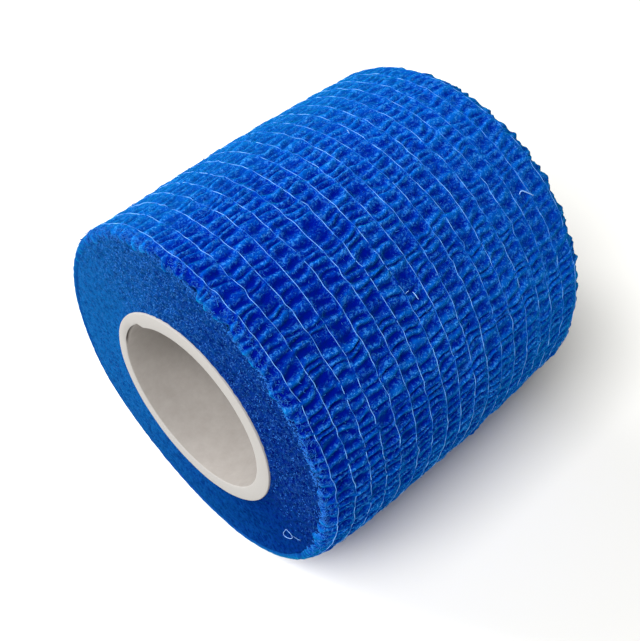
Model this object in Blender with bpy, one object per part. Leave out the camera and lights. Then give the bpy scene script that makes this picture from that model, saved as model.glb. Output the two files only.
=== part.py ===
"""A cohesive bandage: crinkled elastic cloth wound on a round paper core, lying on its curved side.

Metres, +Z up. X runs along the roll's axis, and the origin is at the bottom centre of the roll's box,
on the small flat spot that it rests on.
"""
import math

import bmesh
import bpy

MM = 0.001
TAU = 2.0 * math.pi

# Driving dimensions, in millimetres. Angles are about the roll's axis, from +Y towards +Z.
BANDAGE_WIDTH = 50.0          # between the two cloth faces
ROLL_DIAMETER = 54.0          # over the crests, at the middle of the width
CORE_DIAMETER = 30.4
CORE_WALL = 2.05
CORE_LENGTH = 50.8            # the core stands 0.4 proud of each cloth face
CORE_RIM_BREAK = 0.2          # the small round at the core's cut rims
PIECE_GAP = 0.3               # between the core and the first turn
LAYER = 0.65                  # one turn of the cloth: how far the outer turn rises, and its end's step
TAIL_ANGLE = math.radians(350.0)
TAIL_STEP_WIDTH = 0.35
BARREL_DROP = 0.7             # how much smaller the radius is at the ends of the width
OUT_OF_ROUND = 0.43
OUT_OF_ROUND_ANGLE = math.radians(76.0)
# Each rounded edge: how far it reaches along the width and in from the radius, and how far, and to
# which side, the lip of the last turns has swayed.
SHOULDERS = {
    -1: {"along": 1.7, "in": 1.1, "sway": 0.8, "sway_angle": math.radians(58.0)},
    1: {"along": 2.2, "in": 1.5, "sway": 0.3, "sway_angle": math.radians(180.0)},
}
SWAY_FALL = 8                 # the power of X with which the sway dies away from the edge
EDGE_WANDER = 0.25            # how far the edges of the cloth stray along the axis
WANDER_WAVES = 3              # how often they do so in one turn
FLAT_SPOT_DEPTH = 0.7         # how much of the curve the roll's own weight presses flat

# The elastic threads draw the cloth in along rings, and it stands up in a rib between them.
THREAD_COUNT = 18
THREAD_PITCH = 2.76
FIRST_THREAD_INSET = 1.4      # from the -X face to its nearest thread
RIB_HEIGHT = 0.3

RING_STEPS = 80
SHOULDER_STEPS = 4
CORE_STEPS = 72

CLOTH_BLUE = (0.005, 0.055, 0.42, 1.0)
CORE_CREAM = (0.66, 0.62, 0.56, 1.0)

ROLL_RADIUS = ROLL_DIAMETER / 2.0
CORE_RADIUS = CORE_DIAMETER / 2.0
BORE_RADIUS = CORE_RADIUS - CORE_WALL
HALF_WIDTH = BANDAGE_WIDTH / 2.0
HALF_CORE = CORE_LENGTH / 2.0
BOTTOM = math.radians(270.0)


def clear_scene():
    for old in list(bpy.data.objects):
        bpy.data.objects.remove(old, do_unlink=True)


def make_material(name, colour, roughness):
    material = bpy.data.materials.new(name)
    material.use_nodes = True
    shader = material.node_tree.nodes["Principled BSDF"]
    shader.inputs["Base Color"].default_value = colour
    shader.inputs["Roughness"].default_value = roughness
    shader.inputs["Metallic"].default_value = 0.0
    return material


def wound_radius(angle):
    """Radius over the crests at mid-width. The outer turn rises by one layer on its way to the tail."""
    turn = ((angle - TAIL_ANGLE) % TAU) / TAU
    spiral = LAYER * (turn - 0.5)
    oval = OUT_OF_ROUND * math.cos(2.0 * (angle - OUT_OF_ROUND_ANGLE))
    return ROLL_RADIUS + spiral + oval


AXIS_HEIGHT = wound_radius(BOTTOM) - FLAT_SPOT_DEPTH


def rib_stations():
    """Pairs of X and depth below the crests: a valley at each thread and a crest halfway between."""
    stations = []
    for index in range(THREAD_COUNT):
        thread = -HALF_WIDTH + FIRST_THREAD_INSET + index * THREAD_PITCH
        stations.append((thread, RIB_HEIGHT))
        if index < THREAD_COUNT - 1:
            stations.append((thread + THREAD_PITCH / 2.0, 0.0))
    return stations


def shoulder_stations(side):
    """The rounded edge on one side, from the cloth's face up to its full radius."""
    size = SHOULDERS[side]
    stations = []
    for step in range(SHOULDER_STEPS):
        turn = math.pi / 2.0 * step / SHOULDER_STEPS
        x = side * (HALF_WIDTH - size["along"] * (1.0 - math.cos(turn)))
        stations.append((x, size["in"] * (1.0 - math.sin(turn))))
    return stations


def outer_profile():
    """X and depth along the outside, from the -X face to the +X face."""
    near = shoulder_stations(-1)
    far = shoulder_stations(1)
    middle = [s for s in rib_stations() if near[-1][0] < s[0] < far[-1][0]]
    return near + middle + far[::-1]


def ring_points(angle):
    """One section of the wound cloth: along the outside, then back through the bore."""
    points = []
    for x, depth in outer_profile():
        across = x / HALF_WIDTH
        edge = SHOULDERS[-1 if x < 0.0 else 1]
        sway = edge["sway"] * math.cos(angle - edge["sway_angle"]) * across ** SWAY_FALL
        radius = wound_radius(angle) - BARREL_DROP * across ** 2 - depth + sway
        wander = EDGE_WANDER * math.sin(WANDER_WAVES * angle + across) * across ** 4
        points.append((x + wander, radius))
    bore = CORE_RADIUS + PIECE_GAP
    face_middle = (bore + ROLL_RADIUS) / 2.0
    for x, radius in ((HALF_WIDTH, face_middle), (HALF_WIDTH, bore),
                      (-HALF_WIDTH, bore), (-HALF_WIDTH, face_middle)):
        points.append((x, radius))
    return points


def bridge_rings(mesh_name, rings):
    """A closed ring-shaped mesh from sections of equal length. Each point is (x, y, z) in millimetres."""
    shape = bmesh.new()
    rows = [[shape.verts.new([value * MM for value in point]) for point in ring] for ring in rings]
    for row, following in zip(rows, rows[1:] + rows[:1]):
        for index in range(len(row)):
            after = (index + 1) % len(row)
            shape.faces.new((row[index], following[index], following[after], row[after]))
    bmesh.ops.triangulate(shape, faces=shape.faces[:])
    bmesh.ops.recalc_face_normals(shape, faces=shape.faces[:])
    mesh = bpy.data.meshes.new(mesh_name)
    shape.to_mesh(mesh)
    shape.free()
    mesh.shade_smooth()
    mesh.set_sharp_from_angle(angle=math.radians(40.0))
    return mesh


def add_object(name, mesh, material, parent):
    piece = bpy.data.objects.new(name, mesh)
    piece.data.materials.append(material)
    piece.parent = parent
    bpy.context.scene.collection.objects.link(piece)
    return piece


def bandage_roll(parent):
    """The wound cloth. Its lowest part is pressed flat where the roll rests."""
    last_angle = TAU - TAIL_STEP_WIDTH / ROLL_RADIUS
    rings = []
    for step in range(RING_STEPS + 1):
        angle = TAIL_ANGLE + last_angle * step / RING_STEPS
        ring = []
        for x, radius in ring_points(angle):
            height = max(radius * math.sin(angle), -AXIS_HEIGHT)
            ring.append((x, radius * math.cos(angle), height))
        rings.append(ring)
    mesh = bridge_rings("bandage_roll", rings)
    return add_object("bandage_roll", mesh, make_material("cloth", CLOTH_BLUE, 0.9), parent)


def core_tube(parent):
    """The plain paper tube with softened rims."""
    inset = CORE_RIM_BREAK
    section = [
        (-HALF_CORE + inset, CORE_RADIUS), (HALF_CORE - inset, CORE_RADIUS),
        (HALF_CORE, CORE_RADIUS - inset), (HALF_CORE, BORE_RADIUS + inset),
        (HALF_CORE - inset, BORE_RADIUS), (-HALF_CORE + inset, BORE_RADIUS),
        (-HALF_CORE, BORE_RADIUS + inset), (-HALF_CORE, CORE_RADIUS - inset),
    ]
    rings = []
    for step in range(CORE_STEPS):
        angle = TAU * step / CORE_STEPS
        rings.append([(x, r * math.cos(angle), r * math.sin(angle)) for x, r in section])
    mesh = bridge_rings("core_tube", rings)
    return add_object("core_tube", mesh, make_material("core_paper", CORE_CREAM, 0.8), parent)


def main():
    clear_scene()
    axis = bpy.data.objects.new("roll_axis", None)
    bpy.context.scene.collection.objects.link(axis)
    roll = bandage_roll(axis)
    core_tube(axis)
    across = [vertex.co.y for vertex in roll.data.vertices]
    centre = (min(across) + max(across)) / 2.0
    axis.location = (0.0, -centre, AXIS_HEIGHT * MM)
    bpy.context.view_layer.update()


main()
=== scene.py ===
"""The looks of a cohesive bandage roll: crinkled blue cloth, elastic threads and a paper core.

Lengths below are in millimetres unless a name or a comment says otherwise, and angles are about the
roll's axis, from +Y towards +Z. The roll's axis is the core's own, read from the frame. The end that
faces -X is called near, and the other one far.
"""
import math

import bpy
import numpy as np
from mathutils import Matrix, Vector


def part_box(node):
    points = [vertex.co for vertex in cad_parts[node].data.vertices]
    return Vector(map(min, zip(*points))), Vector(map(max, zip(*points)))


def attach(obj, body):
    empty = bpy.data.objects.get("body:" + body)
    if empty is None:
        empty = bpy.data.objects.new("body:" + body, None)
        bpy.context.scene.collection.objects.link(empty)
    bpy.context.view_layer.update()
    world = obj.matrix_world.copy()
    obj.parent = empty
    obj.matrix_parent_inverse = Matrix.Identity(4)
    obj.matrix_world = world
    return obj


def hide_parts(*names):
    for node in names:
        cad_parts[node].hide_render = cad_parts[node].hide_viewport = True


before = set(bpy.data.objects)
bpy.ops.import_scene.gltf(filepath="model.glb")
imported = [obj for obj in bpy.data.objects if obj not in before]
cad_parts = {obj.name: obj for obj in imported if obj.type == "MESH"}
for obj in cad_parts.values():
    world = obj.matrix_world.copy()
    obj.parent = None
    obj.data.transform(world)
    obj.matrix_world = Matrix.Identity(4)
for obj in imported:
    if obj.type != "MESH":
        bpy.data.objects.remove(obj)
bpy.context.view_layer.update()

MM = 0.001
TAU = 2.0 * math.pi
HALF_PI = math.pi / 2.0

# ---------------------------------------------------------------- the paper core's sizes
core_low, core_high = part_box("core_tube")
AXIS_Y = (core_low.y + core_high.y) / 2.0 / MM
AXIS_Z = (core_low.z + core_high.z) / 2.0 / MM
CORE_RADIUS = (core_high.y - core_low.y) / 2.0 / MM
HALF_CORE = (core_high.x - core_low.x) / 2.0 / MM
CORE_WALL = 2.3                # with the innermost ply, which ends short of the rim on one side
INNER_PLY = 0.75
BORE_RADIUS = CORE_RADIUS - CORE_WALL
RIM_INSET = 0.12               # radius of the softened corners of the rims
RIM_STEPS = 5
CORE_OVAL = 0.18               # how far the near end of the tube is pressed out of round
CORE_OVAL_ANGLE = math.radians(135.0)
CORE_SAG = 0.30                # how far it has sunk in the cloth
CORE_STEPS = 360
# Rings of points in the bore, by their distance from a rim.
BORE_DEPTHS = (0.04, 0.09, 0.15, 0.25, 0.4, 0.6, 0.9, 1.3, 2.0, 3.0, 4.5, 7.0, 12.0, 20.0)
# The innermost ply's step, by the angle at which it ends and, as angles behind that, how soon its full
# thickness is missing, where it comes back, and where the slit in the step opens and closes.
PLY_END = math.radians(50.0)
PLY_STEP = (0.0, 0.14)
PLY_RETURN = (0.6, 2.6)
PLY_DEPTH = 2.5                # the distance into the bore over which the step fades out
SLIT_OPENS = (0.20, 0.35)
SLIT_CLOSES = (0.62, 0.78)
SLIT = {"from_rim": 0.22, "half_width": 0.16, "depth": 0.12}

# ---------------------------------------------------------------- the wound cloth's sizes
HALF_WIDTH = 25.0
ROLL_RADIUS = 27.0
LENGTH_ROUND = TAU * ROLL_RADIUS
LAYER = 0.65
TAIL_ANGLE = math.radians(350.0)
BARREL_DROP = 0.7
OUT_OF_ROUND = 0.43
OUT_OF_ROUND_ANGLE = math.radians(76.0)
# The rounded edges: how far they reach along the roll and into it, and how far the last turns sway out.
SHOULDERS = {
    -1: {"along": 1.7, "in": 1.1, "sway": 0.8, "sway_angle": math.radians(58.0)},
    1: {"along": 2.2, "in": 1.5, "sway": 0.3, "sway_angle": math.radians(180.0)},
}
SWAY_FALL = 8                  # powers with which sway and wander fall off from the edges to mid-width
WANDER_FALL = 4
EDGE_WANDER = 0.25
WANDER_WAVES = 3
PRESSED_TURN = (0.94, 1.0)     # the last part of the turn, and the X, at which the tail is pressed down
PRESSED_X = (-23.0, -24.4)

# Sides of the roll that look different: the angle of the middle of each, and the cosines of the angle
# from there at which it begins and is full.
RUBBED = {"angle": math.radians(-58.0), "from": -0.65, "full": 0.35}   # near edges of the turns are smooth
WORN_AND_SHEEN = {"angle": math.radians(25.0), "from": -0.1, "full": 0.75}       # the outside is worn smoother, and painted sheen makes its colour more even there
SHEEN_PALE = {"angle": math.radians(25.0), "from": 0.45, "full": 0.95}  # painted sheen: the worn side is paler in its middle
DEEP = {"angle": math.radians(128.0), "from": 0.45, "full": 1.0}       # deeper in colour, mostly near
PAINTED_LIGHT_ANGLE = math.radians(-8.0)      # where painted light makes the near face palest
CALM_X = (-10.0, 24.0)               # where along the roll the crinkles begin to be calmer, and are calmest

# ---------------------------------------------------------------- the crinkles
CRINKLE_PITCH = 1.45           # spacing of the ridges round the roll
THREAD_LEVEL = -0.16           # how far the cloth at the threads lies under the crests
RIDGE_RISE = 0.18              # how far the ridges stand over that level, and the pockets lie under it
POCKET_DEPTH = 0.36
STRIP_CROWN = 0.55             # power that makes the crinkles full over most of a strip's breadth
# The crinkles' size at the near end as a factor, and what the calm end and the worn side take off it.
CRINKLE_SIZE = 1.1
CALM_TAKES = 0.45
WORN_TAKES = 0.25
PATCH_LIMITS = (0.4, 1.6)      # how far their size goes down and up from patch to patch
GRIT_CALMED = 0.5              # the share of the grit that the calm end loses
THREAD_SHADE = 0.62            # shade of the cloth at the threads, and what the calm end adds to it
THREAD_SHADE_CALM = 0.15
# Uneven fields over the outside: grid cells in a feature, round the roll and along it, seed, and size.
FIELDS = {
    "warp_fine": {"cells": (6, 4), "seed": 11, "size": 0.11},
    "warp_broad": {"cells": (14, 10), "seed": 12, "size": 0.16},
    "patches": {"cells": (60, 34), "seed": 13, "size": 0.20},
    "lumps_fine": {"cells": (3.0, 2.4), "seed": 14, "size": 0.034},
    "lumps_broad": {"cells": (6, 5), "seed": 15, "size": 0.040},
    "grit": {"cells": (1.8, 1.4), "seed": 16, "size": 0.020},
    "ragged": {"cells": (1, 3), "seed": 31, "size": 0.12},
    "loose": {"cells": (16, 4), "seed": 78, "size": 0.4},
    "fringe": {"cells": (3.5, 3.0), "seed": 79, "size": 1.0},
}

# ---------------------------------------------------------------- the curled edges of the last turn
ROUND_STEPS = 1100
MAIN_STEPS = 200
SHOULDER_STEPS = 11
CURL_STEPS = 5
CURL_TURN = math.radians(65.0)
LIP_TURN = (0.35, 1.5)         # angles round an edge between which the lip begins, and the curled-in edge
CURLED_TURN = (1.2, 2.1)
TUFT_SEED = 77
TUFT_CELLS = 5
LOOSE_MEAN = 0.55
LOOSE_LIMITS = (0.0, 1.3)
RUBBED_FLAT = 0.92             # how much of its unevenness the rubbed side loses
# How far ridges, tufts and fringe move the lip out from the axis, and along the roll.
LIP_OUT = {"ridges": 0.45, "tuft": 0.06, "fringe": 0.08}
LIP_ALONG = {"ridges": 0.24, "tuft": 0.08, "fringe": 0.17}
CURL_IN = {"mean": 0.25, "fringe": 0.20}
RAGGED_REACH = 0.5             # how far from the tail its edge is ragged

# ---------------------------------------------------------------- the threads' sizes
THREAD_COUNT = 18
THREAD_PITCH = 2.76
FIRST_THREAD_INSET = 1.4
THREADS = [-HALF_WIDTH + FIRST_THREAD_INSET + index * THREAD_PITCH for index in range(THREAD_COUNT)]
BAND_CUTS = (5, 11)            # the threads at which the outside is cut into bands
EDGE_STRIP_REACH = 1.2         # how far the first and last strips reach past the cloth's width
THREAD_STEPS = 620
THREAD_GAP = 0.15              # what is left open between each thread's ends, on both sides of the tail
THREAD_RADIUS = 0.052
THREAD_LIFT = 0.055            # how far a thread's middle stands over the cloth's mean level
THREAD_KINK = 0.090            # deviation of the threads where ridges cross them
LEVEL_STEPS = 9                # steps over which that mean level is taken
DIPS_PER_THREAD = 7
DIP_DEPTH = 0.26
DIP_LENGTH = (0.25, 0.65)
# What the farthest thread has less of than the nearest: lift, radius as a share, and glint.
FAR_THREAD_LESS = {"lift": 0.02, "radius": 0.20, "glint": 0.40}


# ---------------------------------------------------------------- helpers
def smooth_noise(shape, cells, seed):
    """Random periodic field with features of about `cells` grid cells along each axis, deviation 1."""
    rng = np.random.default_rng(seed)
    spectrum = np.fft.fft2(rng.standard_normal(shape))
    along = np.fft.fftfreq(shape[0])[:, None] * cells[0]
    across = np.fft.fftfreq(shape[1])[None, :] * cells[1]
    field = np.fft.ifft2(spectrum * np.exp(-2.0 * (along ** 2 + across ** 2) * math.pi)).real
    return (field - field.mean()) / field.std()


def named_field(name, shape):
    """One of the uneven fields over the outside."""
    field = FIELDS[name]
    return field["size"] * smooth_noise(shape, field["cells"], field["seed"])


def smooth_line(count, cells, rng):
    """Random periodic line of `count` values with features of about `cells` values, deviation 1."""
    spectrum = np.fft.fft(rng.standard_normal(count))
    line = np.fft.ifft(spectrum * np.exp(-2.0 * math.pi * (np.fft.fftfreq(count) * cells) ** 2)).real
    return (line - line.mean()) / line.std()


def smoothstep(low, high, value):
    """0 up to `low`, 1 from `high` on, and a smooth rise between. It falls if `low` is the higher one."""
    t = np.clip((value - low) / (high - low), 0.0, 1.0)
    return t * t * (3.0 - 2.0 * t)


def on_side(angle, side):
    """1 in the middle of that side of the roll, falling to 0 away from it."""
    return smoothstep(side["from"], side["full"], np.cos(angle - side["angle"]))


def on_roll(x, radius, angle):
    """Points in metres, in the row frame, from places about the roll's axis, none under the floor."""
    y = AXIS_Y + radius * np.cos(angle)
    z = np.maximum(AXIS_Z + radius * np.sin(angle), 0.0)
    return np.stack(np.broadcast_arrays(x, y, z), -1) * MM


def grid_faces(rows, columns, wrap_rows=True, wrap_columns=False):
    """Quads of a grid of points stored row by row."""
    index = np.arange(rows * columns).reshape(rows, columns)
    if wrap_rows:
        index = np.vstack([index, index[:1]])
    if wrap_columns:
        index = np.hstack([index, index[:, :1]])
    corners = (index[:-1, :-1], index[1:, :-1], index[1:, 1:], index[:-1, 1:])
    return np.stack([c.ravel() for c in corners], -1)


def grid_normals(points):
    """A unit normal at each point of a grid whose rows close on themselves."""
    down = np.roll(points, -1, 0) - np.roll(points, 1, 0)
    across = np.gradient(points, axis=1)
    normals = np.cross(down, across)
    return normals / np.maximum(np.linalg.norm(normals, axis=-1, keepdims=True), 1e-12)


def mesh_piece(name, points, faces, attributes, material, normals=None):
    """A smooth-shaded object from arrays, with float attributes on its points."""
    mesh = bpy.data.meshes.new(name)
    mesh.from_pydata(points.reshape(-1, 3).tolist(), [], faces.tolist())
    for key, values in attributes.items():
        layer = mesh.attributes.new(key, "FLOAT", "POINT")
        layer.data.foreach_set("value", np.ascontiguousarray(values, dtype=np.float32).ravel())
    mesh.materials.append(material)
    mesh.shade_smooth()
    if normals is not None:
        mesh.normals_split_custom_set_from_vertices(normals.reshape(-1, 3).tolist())
    mesh.update()
    piece = bpy.data.objects.new(name, mesh)
    bpy.context.scene.collection.objects.link(piece)
    return piece


def tubes(paths, radii, sides=3):
    """Points and faces of thin tubes along the given paths, in metres, none of them under the floor."""
    taper_start, taper_power = 0.22, 0.3
    points, faces, start = [], [], 0
    for path, radius in zip(paths, radii):
        path = np.maximum(path, [-np.inf, -np.inf, radius])
        along = np.gradient(path, axis=0)
        along /= np.maximum(np.linalg.norm(along, axis=1, keepdims=True), 1e-12)
        helper = np.where(np.abs(along[:, :1]) < 0.8, [[1.0, 0.0, 0.0]], [[0.0, 0.0, 1.0]])
        first = np.cross(along, helper)
        first /= np.linalg.norm(first, axis=1, keepdims=True)
        second = np.cross(along, first)
        taper = np.sin(np.linspace(taper_start, math.pi - taper_start, len(path))) ** taper_power
        turn = TAU * np.arange(sides) / sides
        ring = path[:, None] + (radius * taper)[:, None, None] * (
            first[:, None] * np.cos(turn)[None, :, None] + second[:, None] * np.sin(turn)[None, :, None])
        points.append(ring.reshape(-1, 3))
        faces.append(grid_faces(len(path), sides, wrap_rows=False, wrap_columns=True)[:, ::-1] + start)
        start += len(path) * sides
    return np.concatenate(points), np.concatenate(faces)


# ---------------------------------------------------------------- the form of the wound cloth
def part_of_turn(angle):
    """How far round from the tail the angle lies: 0 just past it, and nearly 1 just before it."""
    return ((angle - TAIL_ANGLE) % TAU) / TAU


def wound_radius(angle):
    """Radius over the crests at mid-width: the outer turn rises by one layer on its way to the tail."""
    rise = LAYER * (part_of_turn(angle) - 0.5)
    return ROLL_RADIUS + rise + OUT_OF_ROUND * np.cos(2.0 * (angle - OUT_OF_ROUND_ANGLE))


def edge_sway(angle, x):
    """How far the lip of the last turns has swayed out at the edges of the cloth."""
    near, far = (size["sway"] * np.cos(angle - size["sway_angle"]) for size in SHOULDERS.values())
    return np.where(x < 0.0, near, far) * (x / HALF_WIDTH) ** SWAY_FALL


def edge_wander(angle, x):
    """How far the edges of the cloth wander along the roll."""
    across = x / HALF_WIDTH
    return EDGE_WANDER * np.sin(WANDER_WAVES * angle + across) * across ** WANDER_FALL


def tail_press(angle, x):
    """The near corner of the tail is pressed down, so that its step fades out at that edge."""
    return LAYER * smoothstep(*PRESSED_TURN, part_of_turn(angle)) * smoothstep(*PRESSED_X, x)


def crest_radius(angle, x):
    """Radius of the smooth form over the crests, without the rounded edges."""
    barrel = BARREL_DROP * (x / HALF_WIDTH) ** 2
    return wound_radius(angle) - barrel + edge_sway(angle, x) - tail_press(angle, x)


def calm(x):
    """The crinkles are less marked towards the far end."""
    return smoothstep(*CALM_X, x)


def core_shift(angle, x):
    """How much further from the axis the core's surface lies there than a true tube's."""
    nearness = 0.5 - x / (2.0 * HALF_CORE)
    oval = CORE_OVAL * np.cos(2.0 * (angle - CORE_OVAL_ANGLE))
    return nearness * (oval - CORE_SAG * np.sin(angle))


def profile():
    """Columns along the outside, from one curled edge to the other.

    For each: X, depth under the crests, how much it belongs to the lip, and how much to the curled-in edge.
    """
    columns = []
    for side in (-1, 1):
        size = SHOULDERS[side]
        curl = HALF_PI + CURL_TURN * np.arange(CURL_STEPS, 0, -1) / CURL_STEPS
        rise = HALF_PI * np.arange(SHOULDER_STEPS, 0, -1) / SHOULDER_STEPS
        turn = np.concatenate([curl, rise])
        part = np.stack([side * (HALF_WIDTH - size["along"] + size["along"] * np.sin(turn)),
                         size["in"] * (1.0 - np.cos(turn)),
                         smoothstep(*LIP_TURN, turn),
                         smoothstep(*CURLED_TURN, turn)])
        columns.append(part[:, ::-1] if side == 1 else part)
    main = np.zeros((4, MAIN_STEPS))
    first = -HALF_WIDTH + SHOULDERS[-1]["along"]
    last = HALF_WIDTH - SHOULDERS[1]["along"]
    main[0] = np.linspace(first, last, MAIN_STEPS)
    return np.concatenate([columns[0], main, columns[1]], axis=1)


# ---------------------------------------------------------------- the crinkles
def ridge_table():
    """Place round the roll, strength and breadth of every ridge in every strip between threads.

    A strip's ridges keep some likeness to those of the strip before, so that most of them cross
    the thread.
    """
    rng = np.random.default_rng(4100)
    keep, spread, drift_size, drift_cells = 0.30, 0.36, 0.30, 7
    strength_keep, strength_new = 0.35, 0.94
    strength_mean, strength_spread, strength_limits = 0.82, 0.24, (0.25, 1.25)
    breadth_mean, breadth_spread = -0.05, 0.35
    least_gap, spacing_rounds = 0.75, 12
    count = int(round(LENGTH_ROUND / CRINKLE_PITCH))
    shift = rng.standard_normal(count)
    strength = rng.standard_normal(count)
    places, strengths, breadths = [], [], []
    for _ in range(THREAD_COUNT + 1):
        shift = keep * shift + math.sqrt(1.0 - keep ** 2) * rng.standard_normal(count)
        strength = strength_keep * strength + strength_new * rng.standard_normal(count)
        drift = drift_size * smooth_line(count, drift_cells, rng)
        place = np.sort((np.arange(count) + spread * shift + drift) * CRINKLE_PITCH)
        for _ in range(spacing_rounds):
            gaps = np.diff(np.append(place, place[0] + LENGTH_ROUND))
            short = np.maximum(least_gap - gaps, 0.0) / 2.0
            place = place - short + np.roll(short, 1)
        places.append(place)
        strengths.append(np.clip(strength_mean + strength_spread * strength, *strength_limits))
        breadths.append(np.exp(breadth_mean + breadth_spread * rng.standard_normal(count)))
    return np.array(places), np.array(strengths), np.array(breadths)


def strip_coordinate(x):
    """Position among strips, a whole number at each strip's middle, and the place across the strip."""
    edges = np.array([-HALF_WIDTH - EDGE_STRIP_REACH] + THREADS + [HALF_WIDTH + EDGE_STRIP_REACH])
    strip = np.clip(np.searchsorted(edges, x) - 1, 0, edges.size - 2)
    across = (x - edges[strip]) / (edges[strip + 1] - edges[strip])
    return strip + across - 0.5, across


def between_strips(table, low, weight, reach):
    """A strip's ridges mixed with the next strip's, carried on past where the roll closes."""
    row = table[low] * (1.0 - weight) + table[low + 1] * weight
    return row[reach % row.size]


def ridge_wave(around, x, warp):
    """1 on the ridges and 0 in the pockets, and the ridges' own strength, over the whole outside."""
    even_share, turn_over = 0.20, (0.32, 0.68)   # how ridges go over from one strip to the next
    past_close = 4
    places, strengths, breadths = ridge_table()
    place_of_strip, _ = strip_coordinate(x)
    strips, count = places.shape
    reach = np.arange(-past_close, count + past_close)
    wave = np.empty((around.size, x.size))
    power = np.empty((around.size, x.size))
    for column, s in enumerate(np.clip(place_of_strip, 0, strips - 1)):
        low = int(min(math.floor(s), strips - 2))
        t = s - low
        blend = smoothstep(*turn_over, t)
        place = between_strips(places, low, even_share * t + (1.0 - even_share) * blend, reach)
        place = place + np.floor_divide(reach, count) * LENGTH_ROUND
        phase = np.interp(around + warp[:, column], place, reach.astype(float))
        breadth = np.interp(phase, reach, between_strips(breadths, low, blend, reach))
        wave[:, column] = (0.5 + 0.5 * np.cos(TAU * phase)) ** breadth
        power[:, column] = np.interp(phase, reach, between_strips(strengths, low, blend, reach))
    return wave, power


def cloth_relief(around, angle, x, lip):
    """Height over the crest line, and a shade from 0 in the pockets to 1 on the ridges, which the cloth's
    colour turns into painted shade.
    """
    shape = (around.size, x.size)
    warp = named_field("warp_fine", shape) + named_field("warp_broad", shape)
    wave, power = ridge_wave(around, x, warp)
    wave = wave * power
    _, across = strip_coordinate(x)
    open_part = np.sin(math.pi * np.clip(across, 0.0, 1.0)) ** STRIP_CROWN
    open_part = np.maximum(open_part, lip)[None, :]
    patch = np.clip(1.0 + named_field("patches", shape), *PATCH_LIMITS)
    patch = patch * (CRINKLE_SIZE - CALM_TAKES * calm(x)) * (1.0 - WORN_TAKES * on_side(angle, WORN_AND_SHEEN))
    crinkle = (RIDGE_RISE + POCKET_DEPTH) * wave - POCKET_DEPTH
    lumps = named_field("lumps_fine", shape) + named_field("lumps_broad", shape)
    grit = named_field("grit", shape) * (1.0 - GRIT_CALMED * calm(x))
    height = THREAD_LEVEL + patch * open_part * crinkle + lumps + grit
    at_thread = THREAD_SHADE + THREAD_SHADE_CALM * calm(x)
    shade = at_thread + open_part * (wave - at_thread)
    return height, shade


def outer_looks(angle, x, lip, shade, fringe):
    """Attributes of the outside: its painted shade, where it is paler from painted light on the lip and
    painted sheen on the worn side, and where its colour is more even, on the worn side as painted sheen.
    """
    lip_mean, lip_fringe, mean_shade = 0.42, 0.30, 0.55
    sheen_pale, sheen_even = 0.95, 0.6
    tone_at_middle, tone_per_mm = -0.04, 0.0075
    # Painted light: the lip is paler where its thin edges catch light, and the worn side is paler as painted
    # sheen.
    edge = lip * np.clip(lip_mean + (shade - mean_shade) + lip_fringe * fringe, 0.0, 1.0)
    edge = np.maximum(edge, sheen_pale * on_side(angle, SHEEN_PALE))
    # On the worn side the more even colour is painted sheen.
    softer = 1.0 - (1.0 - calm(x)) * (1.0 - sheen_even * on_side(angle, WORN_AND_SHEEN))
    tone = on_side(angle, DEEP) * (tone_per_mm * x + tone_at_middle)
    return {"shade": shade + tone, "edge": edge, "calm": softer}


def outer_surface():
    """The whole outside of the last turn: X, radius and angle of its points, and its attributes.

    The last of the results is each column's X before ridges and fringe move it.
    """
    around = LENGTH_ROUND * np.arange(ROUND_STEPS) / ROUND_STEPS
    angle = (TAIL_ANGLE + around / ROLL_RADIUS)[:, None]
    x, depth, lip, curl = profile()
    shape = (ROUND_STEPS, x.size)
    height, shade = cloth_relief(around, angle, x, lip)
    side = np.where(x < 0.0, -1.0, 1.0)
    rng = np.random.default_rng(TUFT_SEED)
    near_tuft = smooth_line(ROUND_STEPS, TUFT_CELLS, rng)[:, None]
    far_tuft = smooth_line(ROUND_STEPS, TUFT_CELLS, rng)[:, None]
    tuft = np.where(side < 0, near_tuft, far_tuft)
    fringe = named_field("fringe", shape)
    loose = np.clip(LOOSE_MEAN + named_field("loose", shape), *LOOSE_LIMITS)
    rubbed = np.clip(2.5 * lip, 0.0, 1.0) * on_side(angle, RUBBED) * (side < 0)
    rough = 1.0 - RUBBED_FLAT * rubbed

    relief = height * (1.0 - lip * (1.0 - LIP_OUT["ridges"] * loose))
    relief = relief + lip * (LIP_OUT["tuft"] * tuft + LIP_OUT["fringe"] * fringe)
    curled_in = curl * (CURL_IN["mean"] + CURL_IN["fringe"] * fringe)
    radius = crest_radius(angle, x) - depth + rough * (relief - curled_in)
    stray = LIP_ALONG["ridges"] * loose * (shade - 0.5)
    stray = stray + LIP_ALONG["tuft"] * tuft + LIP_ALONG["fringe"] * fringe
    along = x + edge_wander(angle, x) + side * lip * rough * stray
    from_tail = np.minimum(around, LENGTH_ROUND - around)[:, None]
    ragged = named_field("ragged", (1, x.size))[0] * np.exp(-from_tail / RAGGED_REACH)
    turned = angle + ragged / ROLL_RADIUS

    layers = outer_looks(angle, x, lip, shade, fringe)
    layers["rubbed"] = rubbed
    return along, radius, turned, layers, x


# ---------------------------------------------------------------- materials
# Painted shade: the cloth's colour runs from the dark pocket blue to the light ridge blue with its relief.
POCKET_SHADE_BLUE = (0.0, 0.0040, 0.20, 1.0)
MIDDLE_BLUE = (0.0003, 0.026, 0.30, 1.0)
RIDGE_BLUE = (0.0012, 0.083, 0.43, 1.0)
FLECK_BLUE = (0.040, 0.27, 0.76, 1.0)
SPARK_BLUE = (0.10, 0.40, 0.92, 1.0)
# Painted light and sheen: the paler blue of the lip's thin edges and of the worn side.
PAINTED_LIGHT_BLUE = (0.004, 0.130, 0.32, 1.0)
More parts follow.
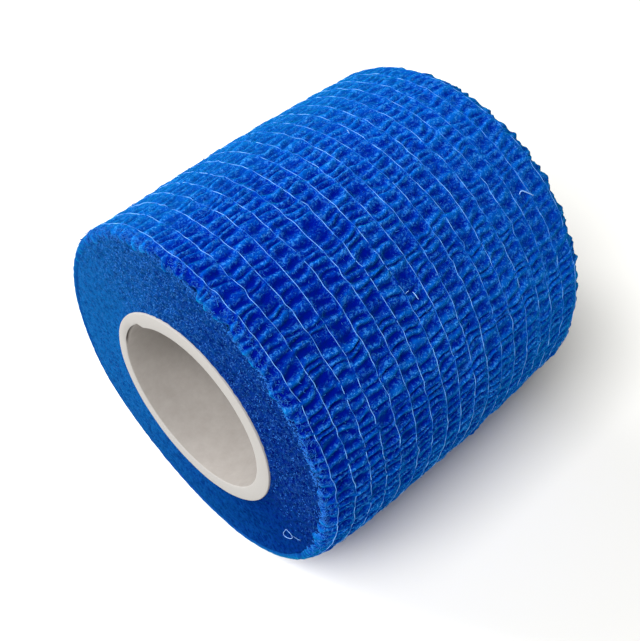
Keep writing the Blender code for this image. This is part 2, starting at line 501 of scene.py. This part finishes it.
# Partly painted shade: the rubbed lip's darker blue damps the sheen along its outline.
RUBBED_SHADE_BLUE = (0.003, 0.036, 0.20, 1.0)
FACE_DARK = (0.0, 0.003, 0.085, 1.0)
FACE_BLUE = (0.0012, 0.016, 0.15, 1.0)
FACE_FLECK = (0.040, 0.165, 0.46, 1.0)
# Painted light: the paler blue of the lit side of the end faces.
FACE_LIT_BLUE = (0.004, 0.078, 0.265, 1.0)
FUZZ_BLUE = (0.028, 0.160, 0.56, 1.0)
THREAD_DULL = (0.010, 0.12, 0.52, 1.0)
THREAD_BRIGHT = (0.19, 0.47, 0.97, 1.0)
LINT_BLUE = (0.27, 0.50, 0.92, 1.0)
PAPER_DARK = (0.285, 0.262, 0.242, 1.0)
PAPER_LIGHT = (0.325, 0.302, 0.282, 1.0)
PAPER_CUT = (0.330, 0.317, 0.303, 1.0)
# Painted shadow in the slit behind the core's innermost ply.
SLIT_SHADOW_BROWN = (0.045, 0.035, 0.028, 1.0)
FLOOR_WHITE = (0.86, 0.855, 0.825, 1.0)
SHEEN_TINT = (0.0, 0.55, 0.75, 1.0)


def new_material(name):
    material = bpy.data.materials.new(name)
    material.use_nodes = True
    shader = material.node_tree.nodes["Principled BSDF"]
    return material, material.node_tree, shader


def feed(tree, socket, value):
    """Link another node's output to the socket, or set a constant on it."""
    if hasattr(value, "is_linked"):
        tree.links.new(value, socket)
    else:
        socket.default_value = value


def add_node(tree, kind, **settings):
    """A node with its inputs, or else its own settings, given by name."""
    node = tree.nodes.new(kind)
    for key, value in settings.items():
        socket = key.replace("_", " ")
        if socket in node.inputs:
            feed(tree, node.inputs[socket], value)
        else:
            setattr(node, key, value)
    return node


def noise_value(tree, features_per_mm, detail=3.0, rough=0.6, distortion=0.0):
    """Noise from 0 to 1 with that many features in each millimetre of the object."""
    place = add_node(tree, "ShaderNodeTexCoord")
    noise = add_node(tree, "ShaderNodeTexNoise", Scale=features_per_mm / MM, Detail=detail,
                     Roughness=rough, Distortion=distortion, Vector=place.outputs["Object"])
    return noise.outputs["Fac"]


def ramp(tree, value, stops):
    """Colours along a value, from (place, colour) pairs."""
    node = add_node(tree, "ShaderNodeValToRGB", Fac=value)
    elements = node.color_ramp.elements
    while len(elements) < len(stops):
        elements.new(0.5)
    for element, (place, colour) in zip(elements, stops):
        element.position = place
        element.color = colour
    return node.outputs["Color"]


def grey_ramp(tree, value, low, high):
    return ramp(tree, value, ((low, (0.0, 0.0, 0.0, 1.0)), (high, (1.0, 1.0, 1.0, 1.0))))


def mix_colours(tree, factor, first, second):
    """The first colour where the factor is 0, and the second where it is 1."""
    node = add_node(tree, "ShaderNodeMix", data_type="RGBA", Factor=factor)
    colour_a, colour_b = node.inputs[6], node.inputs[7]
    feed(tree, colour_a, first)
    feed(tree, colour_b, second)
    return node.outputs[2]


def math_node(tree, operation, *values):
    node = add_node(tree, "ShaderNodeMath", operation=operation)
    for socket, value in zip(node.inputs, values):
        feed(tree, socket, value)
    return node.outputs["Value"]


def attribute(tree, name):
    return add_node(tree, "ShaderNodeAttribute", attribute_name=name).outputs["Fac"]


def add_bump(tree, shader, height, strength, distance):
    bump = add_node(tree, "ShaderNodeBump", Strength=strength, Distance=distance * MM, Height=height)
    tree.links.new(bump.outputs["Normal"], shader.inputs["Normal"])


def fibrous(material, tree, shader, base, grain_height, sheen):
    """The common finish of all the blue cloth: matt, with a little sheen and a fine fibrous bump."""
    tree.links.new(base, shader.inputs["Base Color"])
    shader.inputs["Roughness"].default_value = 0.9
    shader.inputs["Specular IOR Level"].default_value = 0.0
    shader.inputs["Sheen Weight"].default_value = sheen
    shader.inputs["Sheen Roughness"].default_value = 0.40
    shader.inputs["Sheen Tint"].default_value = SHEEN_TINT
    add_bump(tree, shader, grain_height, strength=0.85, distance=0.10)
    return material


def cloth_material():
    """Nonwoven cloth: deep in the pockets and lighter on the ridges as painted shade, with most of its pale
    fibres standing up on the ridges.

    The attribute `calm` brings the pockets nearer to the ridges' colour, and `edge` is how much the
    cloth has of the paler blue of the lip and of the worn side: painted light caught by the lip's thin
    edges, and painted sheen on the worn side. On the worn side the more even colour is painted sheen too,
    and `rubbed` gives the rubbed lip a darker blue, partly painted shade that damps its sheen.
    """
    ridge_top, calm_takes = 0.95, -0.27
    grain_gain, fibre_share, edge_share = 1.6, 0.75, 0.4
    material, tree, shader = new_material("crinkled_cloth")
    grain = noise_value(tree, 2.2, detail=3.0, rough=0.8, distortion=0.5)
    fibre = noise_value(tree, 2.3, detail=1.2, rough=0.5, distortion=1.2)
    softer = math_node(tree, "MULTIPLY_ADD", attribute(tree, "calm"), calm_takes, 1.0)
    from_top = math_node(tree, "SUBTRACT", attribute(tree, "shade"), ridge_top)
    shade = math_node(tree, "MULTIPLY_ADD", from_top, softer, ridge_top)
    level = math_node(tree, "MULTIPLY_ADD", grain, grain_gain, -grain_gain / 2.0)
    level = math_node(tree, "ADD", level, shade)
    # Painted shade: darker in the pockets, lighter on the ridges.
    base = ramp(tree, level, ((0.10, POCKET_SHADE_BLUE), (0.50, MIDDLE_BLUE), (0.95, RIDGE_BLUE)))
    standing = math_node(tree, "MULTIPLY", shade, fibre_share)
    standing = math_node(tree, "MULTIPLY", standing, softer)
    speck = math_node(tree, "MULTIPLY", grey_ramp(tree, fibre, 0.56, 0.61), standing)
    base = mix_colours(tree, speck, base, FLECK_BLUE)
    spark = grey_ramp(tree, noise_value(tree, 3.4, detail=0.0, distortion=0.6), 0.72, 0.86)
    base = mix_colours(tree, math_node(tree, "MULTIPLY", spark, standing), base, SPARK_BLUE)
    # Painted light on the lip and painted sheen on the worn side.
    painted_paler = math_node(tree, "MULTIPLY", attribute(tree, "edge"), edge_share)
    base = mix_colours(tree, painted_paler, base, PAINTED_LIGHT_BLUE)
    # Partly painted shade on the rubbed lip.
    base = mix_colours(tree, attribute(tree, "rubbed"), base, RUBBED_SHADE_BLUE)
    return fibrous(material, tree, shader, base, fibre, sheen=0.33)


def face_material():
    """The rolled edges of the turns: the same cloth seen on its cut edge, in fine curly grain. The attribute
    painted_light is painted light, which makes the face paler, smoother and more flecked towards one side.
    """
    painted_light_gain, painted_light_least = 0.52, 0.42
    fleck_gain, fleck_least, rubbed_takes = 0.50, 0.42, -0.60
    material, tree, shader = new_material("cloth_edges")
    grain = noise_value(tree, 1.5, detail=3.0, rough=0.7, distortion=0.5)
    fibre = noise_value(tree, 2.8, detail=1.5, rough=0.5, distortion=2.2)
    base = ramp(tree, grain, ((0.38, FACE_DARK), (0.62, FACE_BLUE)))
    # Painted light: paler, more even and more flecked where painted_light is high.
    even = math_node(tree, "MULTIPLY_ADD", grey_ramp(tree, grain, 0.38, 0.58), painted_light_gain, painted_light_least)
    base = mix_colours(tree, math_node(tree, "MULTIPLY", attribute(tree, "painted_light"), even), base, FACE_LIT_BLUE)
    standing = math_node(tree, "MULTIPLY_ADD", attribute(tree, "painted_light"), fleck_gain, fleck_least)
    standing = math_node(tree, "MULTIPLY_ADD", attribute(tree, "rubbed"), rubbed_takes, standing)
    speck = math_node(tree, "MULTIPLY", grey_ramp(tree, fibre, 0.57, 0.65), standing)
    base = mix_colours(tree, speck, base, FACE_FLECK)
    return fibrous(material, tree, shader, base, fibre, sheen=0.05)


def plain_material(name, colour, roughness, specular):
    material, _, shader = new_material(name)
    shader.inputs["Base Color"].default_value = colour
    shader.inputs["Roughness"].default_value = roughness
    shader.inputs["Specular IOR Level"].default_value = specular
    return material


def thread_material():
    """Pale blue elastic, its colour running from dull to bright with a painted glint that comes and goes
    along each thread.
    """
    material, tree, shader = new_material("elastic_thread")
    base = ramp(tree, attribute(tree, "glint"), ((0.0, THREAD_DULL), (1.0, THREAD_BRIGHT)))
    tree.links.new(base, shader.inputs["Base Color"])
    shader.inputs["Roughness"].default_value = 0.6
    shader.inputs["Specular IOR Level"].default_value = 0.05
    return material


def paper_material():
    """Paper board with a faint mottle, whiter on its cut rims, and darkened by painted shadow in the slit
    behind a ply.
    """
    material, tree, shader = new_material("core_paper")
    mottle = noise_value(tree, 0.6, detail=5.0, rough=0.65)
    base = ramp(tree, mottle, ((0.3, PAPER_DARK), (0.7, PAPER_LIGHT)))
    base = mix_colours(tree, attribute(tree, "cut"), base, PAPER_CUT)
    # Painted shadow in the slit.
    base = mix_colours(tree, attribute(tree, "slit"), base, SLIT_SHADOW_BROWN)
    tree.links.new(base, shader.inputs["Base Color"])
    shader.inputs["Roughness"].default_value = 0.8
    shader.inputs["Specular IOR Level"].default_value = 0.25
    fine = noise_value(tree, 3.0, detail=4.0, rough=0.7)
    add_bump(tree, shader, fine, strength=0.25, distance=0.05)
    return material


cloth = cloth_material()
cloth_edges = face_material()
thread_matter = thread_material()
lint_matter = plain_material("lint", LINT_BLUE, roughness=0.6, specular=0.05)
fuzz_matter = plain_material("fuzz", FUZZ_BLUE, roughness=0.8, specular=0.0)
paper = paper_material()


def add_cloth(name, points, faces, attributes, material, normals=None):
    """A piece that belongs to the wound cloth."""
    piece = mesh_piece(name, points, faces, attributes, material, normals)
    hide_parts("bandage_roll")
    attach(piece, "root")
    return piece


# ---------------------------------------------------------------- the outside, in three bands
def add_outer_bands(along, radius, turned, attributes, x):
    points = on_roll(along, radius, turned)
    normals = grid_normals(points)
    cuts = [0] + [int(np.argmin(np.abs(x - THREADS[k]))) for k in BAND_CUTS] + [x.size - 1]
    for name, first, last in zip(("outer_band_near", "outer_band_middle", "outer_band_far"), cuts, cuts[1:]):
        part = slice(first, last + 1)
        faces = grid_faces(ROUND_STEPS, last + 1 - first)
        layers = {key: values[:, part] for key, values in attributes.items()}
        add_cloth(name, points[:, part], faces, layers, cloth, normals[:, part])


# ---------------------------------------------------------------- the ends of the wound cloth
# How far each kind of unevenness stands out of an end face, what the rubbed side takes off it, and the
# grid cells in its features, round the face and across it.
FACE_RIPPLE = {"height": 0.025, "rubbed_takes": 0.85, "uneven": 0.18, "cells": (36, 6)}
FACE_LUMPS = {"height": 0.085, "rubbed_takes": 0.7, "cells": (3.0, 2.5)}
FACE_BROAD = {"height": 0.08, "cells": (60, 16)}
# The face's own form: it comes up at the core, falls off at the lip and lies a little in.
FACE_DISH = {"up": 0.17, "up_to": 0.12, "down": 0.35, "down_from": 0.93, "inset": 0.05}
FACE_TUCK = 0.02               # how far its inner rim reaches into the core, and its outer rim into the lip
LIP_TUCK = 0.05


def face_height(angle, radius, step, rubbed, seed):
    """How far an end face stands out at each of its points."""
    layer_phase = (radius - CORE_RADIUS) / LAYER - (angle - TAIL_ANGLE) / TAU
    uneven = smooth_noise(radius.shape, FACE_RIPPLE["cells"], seed)
    ripple = FACE_RIPPLE["height"] * (1.0 - FACE_RIPPLE["rubbed_takes"] * rubbed)
    ripple = ripple * np.cos(TAU * (layer_phase + FACE_RIPPLE["uneven"] * uneven))
    lumps = FACE_LUMPS["height"] * smooth_noise(radius.shape, FACE_LUMPS["cells"], seed + 1)
    lumps = lumps * (1.0 - FACE_LUMPS["rubbed_takes"] * rubbed)
    broad = FACE_BROAD["height"] * smooth_noise(radius.shape, FACE_BROAD["cells"], seed + 2)
    even = 0.25 + 0.75 * smoothstep(0.0, 0.10, step)
    up = FACE_DISH["up"] * smoothstep(FACE_DISH["up_to"], 0.0, step)
    down = FACE_DISH["down"] * smoothstep(FACE_DISH["down_from"], 1.0, step)
    return ripple + even * (lumps + broad) + (up - down) - FACE_DISH["inset"]


def add_end_face(name, side, rounds, across, seed):
    """The edges of the turns: a nearly flat, grainy face with the spiral of the layers just showing."""
    far_painted_light = 0.3
    angle = (TAIL_ANGLE + TAU * np.arange(rounds) / rounds)[:, None]
    edge = np.full((1, 1), side * HALF_WIDTH)
    inner = CORE_RADIUS - FACE_TUCK + core_shift(angle, edge)
    outer = crest_radius(angle, edge) - SHOULDERS[side]["in"] + LIP_TUCK
    step = np.linspace(0.0, 1.0, across)[None, :]
    radius = inner + (outer - inner) * step
    rubbed = on_side(angle, RUBBED) * (1.0 if side < 0 else 0.0)
    # Painted light: the near face is paler towards PAINTED_LIGHT_ANGLE, and the far face is paler less
    # strongly.
    painted_light = (0.5 + 0.5 * np.cos(angle - PAINTED_LIGHT_ANGLE)) ** 1.5 * (1.0 if side < 0 else far_painted_light)
    height = face_height(angle, radius, step, rubbed, seed)
    along = side * (HALF_WIDTH + height) + edge_wander(angle, edge) * step ** 4
    points = on_roll(along, radius, angle)
    faces = grid_faces(rounds, across)
    if side < 0:
        faces = faces[:, ::-1]
    layers = {"rubbed": np.broadcast_to(rubbed, radius.shape), "painted_light": np.broadcast_to(painted_light, radius.shape)}
    add_cloth(name, points, faces, layers, cloth_edges)


# ---------------------------------------------------------------- threads
def sample_grid(grid, column, around):
    """A column's values at the given places round the roll."""
    place = around / LENGTH_ROUND * ROUND_STEPS
    return np.interp(place, np.arange(ROUND_STEPS + 1), np.append(grid[:, column], grid[-1, column]))


def thread_dips(around, rng):
    """How deep a thread dips under the cloth, from 0 to 1, along its length."""
    dips = np.zeros(THREAD_STEPS)
    for centre in rng.uniform(0.0, LENGTH_ROUND, DIPS_PER_THREAD):
        dips += np.exp(-((around - centre) / rng.uniform(*DIP_LENGTH)) ** 2)
    return np.clip(dips, 0.0, 1.0)


def add_threads(along, radius, x):
    """Each taut thread is kinked where the ridges cross it, and dips under the cloth here and there."""
    broad_stray, fine_stray = {"size": 0.05, "cells": 40}, {"size": 0.02, "cells": 2}
    glint_mean, glint_spread, glint_cells = 0.62, 0.40, 2.5
    rng = np.random.default_rng(505)
    ridge_places, _, _ = ridge_table()
    paths, radii, glints = [], [], []
    around = np.linspace(THREAD_GAP, LENGTH_ROUND - THREAD_GAP, THREAD_STEPS)
    angle = TAIL_ANGLE + around / ROLL_RADIUS
    kernel = np.hanning(LEVEL_STEPS) / np.hanning(LEVEL_STEPS).sum()
    for index, place in enumerate(THREADS):
        column = int(np.argmin(np.abs(x - place)))
        surface = sample_grid(radius, column, around)
        level = np.convolve(np.pad(surface, LEVEL_STEPS // 2, mode="edge"), kernel, mode="valid")
        far = index / (THREAD_COUNT - 1.0)
        above = THREAD_LIFT - FAR_THREAD_LESS["lift"] * far - DIP_DEPTH * thread_dips(around, rng)
        crossings = (ridge_places[index] + ridge_places[index + 1]) / 2.0
        kinks = THREAD_KINK * rng.standard_normal(crossings.size)
        kinks = np.interp(around, crossings, kinks, period=LENGTH_ROUND)
        stray = broad_stray["size"] * smooth_line(THREAD_STEPS, broad_stray["cells"], rng)
        stray = stray + fine_stray["size"] * smooth_line(THREAD_STEPS, fine_stray["cells"], rng)
        paths.append(on_roll(sample_grid(along, column, around) + kinks + stray, level + above, angle))
        radii.append(THREAD_RADIUS * (1.0 - FAR_THREAD_LESS["radius"] * far) * MM)
        glint = glint_mean - FAR_THREAD_LESS["glint"] * far
        glint = glint + glint_spread * smooth_line(THREAD_STEPS, glint_cells, rng)
        glints.append(np.clip(glint, 0.0, 1.0))
    points, faces = tubes(paths, radii)
    glint = np.repeat(np.concatenate(glints), len(points) // (THREAD_COUNT * THREAD_STEPS))
    add_cloth("elastic_threads", points, faces, {"glint": glint}, thread_matter)


# ---------------------------------------------------------------- the paper core
def rim_corner(face_radius, into_wall, turn):
    """Points of a softened corner between the near rim and one of the tube's round faces."""
    x = -HALF_CORE + RIM_INSET * (1.0 - np.sin(turn))
    radius = face_radius + into_wall * RIM_INSET * (1.0 - np.cos(turn))
    return list(zip(x, radius))


def core_section():
    """X and radius of the points of the tube's closed section, the same at both ends."""
    turn = np.linspace(0.0, HALF_PI, RIM_STEPS)
    outer = rim_corner(CORE_RADIUS, -1.0, turn)
    inner = rim_corner(BORE_RADIUS, 1.0, turn[::-1])
    bore = [(-HALF_CORE + RIM_INSET + depth, BORE_RADIUS) for depth in BORE_DEPTHS]
    half = np.array(outer + inner + bore)
    section = np.vstack([half, (half * [-1.0, 1.0])[::-1]])
    return section[:, 0], section[:, 1]


def rim_roughness():
    """How uneven the cut rims are round the tube."""
    rng = np.random.default_rng(9)
    fine = 0.03 * smooth_line(CORE_STEPS, 4, rng)[:, None]
    return fine + 0.05 * smooth_line(CORE_STEPS, 22, rng)[:, None]


def add_core():
    """A plain tube with softened rims. The innermost ply ends in a step, with a slit behind it that painted
    shadow darkens.
    """
    rough_share, rough_depth = 0.4, 0.4
    ply_inset, ply_blend = 0.9, 0.6
    cut_depth = (0.12, 0.05)
    x, plain_radius = core_section()
    angle = (TAU * np.arange(CORE_STEPS) / CORE_STEPS)[:, None]
    behind_ply = (PLY_END - angle) % TAU
    missing = INNER_PLY * smoothstep(*PLY_STEP, behind_ply) * (1.0 - smoothstep(*PLY_RETURN, behind_ply))
    gap = smoothstep(*SLIT_OPENS, behind_ply) * (1.0 - smoothstep(*SLIT_CLOSES, behind_ply))
    inside = np.clip((CORE_RADIUS - ply_inset - plain_radius) / ply_blend, 0.0, 1.0)
    from_near_rim = x + HALF_CORE
    from_rim = HALF_CORE - np.abs(x)
    radius = plain_radius + core_shift(angle, x)
    radius = radius + rough_share * rim_roughness() * np.exp(-from_rim / rough_depth)
    radius = radius + inside * missing * np.exp(-from_near_rim / PLY_DEPTH)
    slit = inside * gap * np.exp(-((from_near_rim - SLIT["from_rim"]) / SLIT["half_width"]) ** 2)
    radius = radius + SLIT["depth"] * slit
    cut = np.maximum(smoothstep(*cut_depth, from_rim), plain_radius > CORE_RADIUS - RIM_INSET)
    layers = {"cut": np.broadcast_to(cut, radius.shape), "slit": slit}
    faces = grid_faces(CORE_STEPS, x.size, wrap_rows=True, wrap_columns=True)
    piece = mesh_piece("core_tube_paper", on_roll(x, radius, angle), faces, layers, paper)
    piece.data.set_sharp_from_angle(angle=math.radians(50.0))
    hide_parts("core_tube")
    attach(piece, "root")


# ---------------------------------------------------------------- loose fibres
# How many there are of each kind, in the order in which they are drawn, and where those on the outside
# and on the lip lie along the roll. Lengths are half lengths.
FIBRE_COUNTS = {"outside": 1300, "lip": 1300, "face": 1400, "fringe": 1700}
FIBRE_X = {"outside": (-24.3, 8.0), "lip": (-25.0, -24.1)}
FIBRE_LENGTH = (0.12, 0.32)
FIBRE_OWN_LENGTH = {"face": (0.06, 0.18), "fringe": (0.12, 0.35)}
FIBRE_CURL = 1.4
FIBRE_LIFT = 0.10
FIBRE_RADIUS = (0.025, 0.048)
FIBRE_OFF = {"outside": 0.02, "lip": 0.02, "face": 0.02, "fringe": 0.06}
FRINGE_REACH = (-0.6, 0.5)     # how far from the lip's foot the fringe starts
FRINGE_SPREAD = 0.5            # deviation of its heading from straight outward
FACE_EDGE = 2.0                # how far inside the roll's radius the face's fibres end
RUBBED_THINS = 0.7             # the rubbed share from which on no fibres are left on the end


def surface_radius(x_wanted, around_wanted, radius, x):
    """The outside's radius at a place on it."""
    column = np.searchsorted(x[CURL_STEPS:-CURL_STEPS], x_wanted) + CURL_STEPS
    row = int(np.rint(around_wanted / LENGTH_ROUND * ROUND_STEPS)) % ROUND_STEPS
    return radius[row, min(column, x.size - 1)]


def fibre_path(kind, rng, radius, x):
    """One bent fibre of three points, or None where the rubbed side has lost it."""
    around = rng.uniform(0.0, LENGTH_ROUND)
    angle = TAIL_ANGLE + around / ROLL_RADIUS
    length = rng.uniform(*FIBRE_LENGTH)
    heading = rng.uniform(0.0, TAU)
    if kind != "outside" and rng.uniform(0.0, RUBBED_THINS) < on_side(angle, RUBBED):
        return None
    if kind in FIBRE_OWN_LENGTH:
        length = rng.uniform(*FIBRE_OWN_LENGTH[kind])
    if kind == "fringe":
        heading = rng.normal(HALF_PI, FRINGE_SPREAD)
    curl = rng.uniform(-FIBRE_CURL, FIBRE_CURL)
    steps = np.linspace(-1.0, 1.0, 3)
    ahead = length * steps
    aside = curl * length * (steps ** 2 - 0.5)
    u = ahead * math.cos(heading) - aside * math.sin(heading)
    v = ahead * math.sin(heading) + aside * math.cos(heading)
    lift = rng.uniform(0.0, FIBRE_LIFT) + FIBRE_LIFT * rng.uniform(-1.0, 1.0) * steps
    off = FIBRE_OFF[kind]
    if kind == "face":
        r = math.sqrt(rng.uniform(CORE_RADIUS ** 2, (ROLL_RADIUS - FACE_EDGE) ** 2))
        return on_roll(-HALF_WIDTH - off - lift, r + v, angle + u / r)
    if kind == "fringe":
        r = crest_radius(angle, -HALF_WIDTH) - SHOULDERS[-1]["in"] + rng.uniform(*FRINGE_REACH)
        wander = edge_wander(angle, -HALF_WIDTH)
        return on_roll(-HALF_WIDTH - off - lift + wander, r + v, angle + u / r)
    middle = rng.uniform(*FIBRE_X[kind])
    r = surface_radius(middle, around, radius, x)
    return on_roll(middle + v, r + off + lift, angle + u / r)


def add_fuzz(radius, x):
    """Short loose fibres of the cloth, on its outside and on the end that faces -X."""
    rng = np.random.default_rng(321)
    paths, radii = [], []
    for kind, count in FIBRE_COUNTS.items():
        for _ in range(count):
            path = fibre_path(kind, rng, radius, x)
            if path is not None:
                paths.append(path)
                radii.append(rng.uniform(*FIBRE_RADIUS) * MM)
    points, faces = tubes(paths, radii)
    add_cloth("loose_fibres", points, faces, {}, fuzz_matter)


# ---------------------------------------------------------------- lint
# Lint on the outside: where its bend starts, in X and degrees round the roll, which way its straight leg
# lies from there, in degrees from +X towards a growing angle, the leg's length, the bend's radius and
# turn, and the thickness.
LINT = (
    {"x": 19.5, "angle": 128.6, "heading": 46.0, "leg": 1.9, "bend": 0.38, "turn": 115.0, "thick": 0.080},
    {"x": -3.2, "angle": 133.7, "heading": -92.0, "leg": 0.7, "bend": 0.70, "turn": 45.0, "thick": 0.065},
    {"x": -3.9, "angle": 131.2, "heading": 0.0, "leg": 0.3, "bend": 0.60, "turn": 30.0, "thick": 0.040},
    {"x": 6.2, "angle": 84.7, "heading": -60.0, "leg": 0.4, "bend": 0.50, "turn": 40.0, "thick": 0.040},
)
# The loop of lint on the end face, shaped like a drop. It hangs from its tip, and each of its directions
# is how far it goes away from the axis and round it.
LOOP = {"radius": 20.4, "angle": 209.1, "down": (1.31, 1.33), "wide": (0.35, -1.04), "thick": 0.036}
# The thin stray end beside it: its two ends, from the loop's tip in the same directions.
STRAY = {"start": (1.25, -0.41), "end": (2.22, -1.66), "sag": 0.12, "thick": 0.018}
LINT_STEPS = 24
LINT_SINK = 0.12               # how far under the crests the ends of the lint lie, and how high it arches
LINT_ARCH = 0.25
LOOP_OFF = 0.16                # how far the loop stands off the end face


def lint_path(lint):
    """A straight leg that goes over into a bend, standing a little off the crests."""
    leg_steps = np.linspace(1.0, 0.0, LINT_STEPS // 2, endpoint=False)
    heading = math.radians(lint["heading"])
    turn = math.radians(lint["turn"]) * np.linspace(0.0, 1.0, LINT_STEPS // 2)
    ahead = np.concatenate([lint["leg"] * leg_steps, -lint["bend"] * np.sin(turn)])
    aside = np.concatenate([np.zeros(leg_steps.size), lint["bend"] * (1.0 - np.cos(turn))])
    x = lint["x"] + ahead * math.cos(heading) - aside * math.sin(heading)
    onward = ahead * math.sin(heading) + aside * math.cos(heading)
    angle = math.radians(lint["angle"]) + onward / ROLL_RADIUS
    lift = LINT_ARCH * np.sin(np.linspace(0.2, math.pi - 0.2, LINT_STEPS))
    return on_roll(x, crest_radius(angle, x) - LINT_SINK + lift, angle)


def on_face(outward, onward):
    """Points against the near end face, from how far they lie outward and round from the loop's tip."""
    angle = math.radians(LOOP["angle"]) + onward / LOOP["radius"]
    return on_roll(-HALF_WIDTH - LOOP_OFF, LOOP["radius"] + outward, angle)


def loop_path():
    """From the drop's tip round it and back."""
    turn = np.linspace(0.0, math.pi, LINT_STEPS * 2)
    down, wide = np.sin(turn), -np.sin(2.0 * turn)
    outward, onward = (LOOP["down"][k] * down + LOOP["wide"][k] * wide for k in (0, 1))
    return on_face(outward, onward)


def stray_path():
    """Nearly straight from one end to the other."""
    step = np.linspace(0.0, 1.0, LINT_STEPS)
    outward, onward = (STRAY["start"][k] + (STRAY["end"][k] - STRAY["start"][k]) * step for k in (0, 1))
    return on_face(outward + STRAY["sag"] * np.sin(math.pi * step), onward)


def add_lint():
    """The few pale threads of lint that cling to the roll."""
    paths = [lint_path(lint) for lint in LINT] + [loop_path(), stray_path()]
    radii = [lint["thick"] * MM for lint in LINT + (LOOP, STRAY)]
    points, faces = tubes(paths, radii, sides=5)
    add_cloth("lint", points, faces, {}, lint_matter)


def add_roll():
    along, radius, turned, attributes, x = outer_surface()
    add_outer_bands(along, radius, turned, attributes, x)
    add_end_face("near_end_face", side=-1, rounds=900, across=80, seed=61)
    add_end_face("far_end_face", side=1, rounds=560, across=50, seed=71)
    add_threads(along, radius, x)
    add_core()
    add_fuzz(radius, x)
    add_lint()


# ---------------------------------------------------------------- floor, light and camera
def add_stage():
    """A white floor, just under the roll's lowest points. Its sizes are in metres."""
    size, drop = 3.0, 0.00002
    corners = [(-size, -size, 0), (size, -size, 0), (size, size, 0), (-size, size, 0)]
    mesh = bpy.data.meshes.new("floor")
    mesh.from_pydata(corners, [], [(0, 1, 2, 3)])
    mesh.materials.append(plain_material("floor_white", FLOOR_WHITE, roughness=0.9, specular=0.2))
    floor = bpy.data.objects.new("floor", mesh)
    bpy.context.scene.collection.objects.link(floor)
    floor.location.z = -drop


def add_light(name, toward, distance, size, power):
    """A square soft light, in metres and watts, that looks at the roll from the direction `toward`."""
    light = bpy.data.lights.new(name, "AREA")
    light.shape = "SQUARE"
    light.size = size
    light.energy = power
    lamp = bpy.data.objects.new(name, light)
    direction = Vector(toward).normalized()
    lamp.location = direction * distance + Vector((0.0, 0.0, AXIS_Z * MM))
    lamp.rotation_euler = direction.to_track_quat("Z", "Y").to_euler()
    bpy.context.scene.collection.objects.link(lamp)


def add_camera():
    """The camera's place and lens, as measured from the roll's outline in the picture."""
    azimuth = math.radians(-44.568)
    elevation = math.radians(49.138)
    distance = 157.756
    shift_right, shift_up = -0.924, -1.88
    picture_height = 641
    focal_pixels = 1100.4
    level = math.cos(elevation)
    back = Vector((math.sin(azimuth) * level, -math.cos(azimuth) * level, math.sin(elevation)))
    right = Vector((math.cos(azimuth), math.sin(azimuth), 0.0))
    up = back.cross(right)
    camera = bpy.data.cameras.new("camera")
    camera.sensor_width = 36.0
    camera.lens = camera.sensor_width * focal_pixels / picture_height
    camera.clip_start = 0.01
    seat = bpy.data.objects.new("camera", camera)
    centre = Vector((0.0, AXIS_Y, AXIS_Z))
    seat.location = (centre + back * distance + right * shift_right + up * shift_up) * MM
    seat.rotation_euler = back.to_track_quat("Z", "Y").to_euler()
    bpy.context.scene.collection.objects.link(seat)
    bpy.context.scene.camera = seat


def add_world(strength):
    """An even white surrounding."""
    world = bpy.data.worlds.new("studio")
    world.use_nodes = True
    background = world.node_tree.nodes["Background"]
    background.inputs["Color"].default_value = (1.0, 1.0, 1.0, 1.0)
    background.inputs["Strength"].default_value = strength
    bpy.context.scene.world = world


add_roll()
add_stage()
add_camera()
add_world(0.12)
add_light("key", toward=(-0.60, -0.12, 0.79), distance=0.85, size=0.50, power=10.5)
add_light("side", toward=(-0.32, 0.80, 0.50), distance=0.80, size=0.50, power=7.0)
bpy.context.scene.view_settings.view_transform = "Standard"
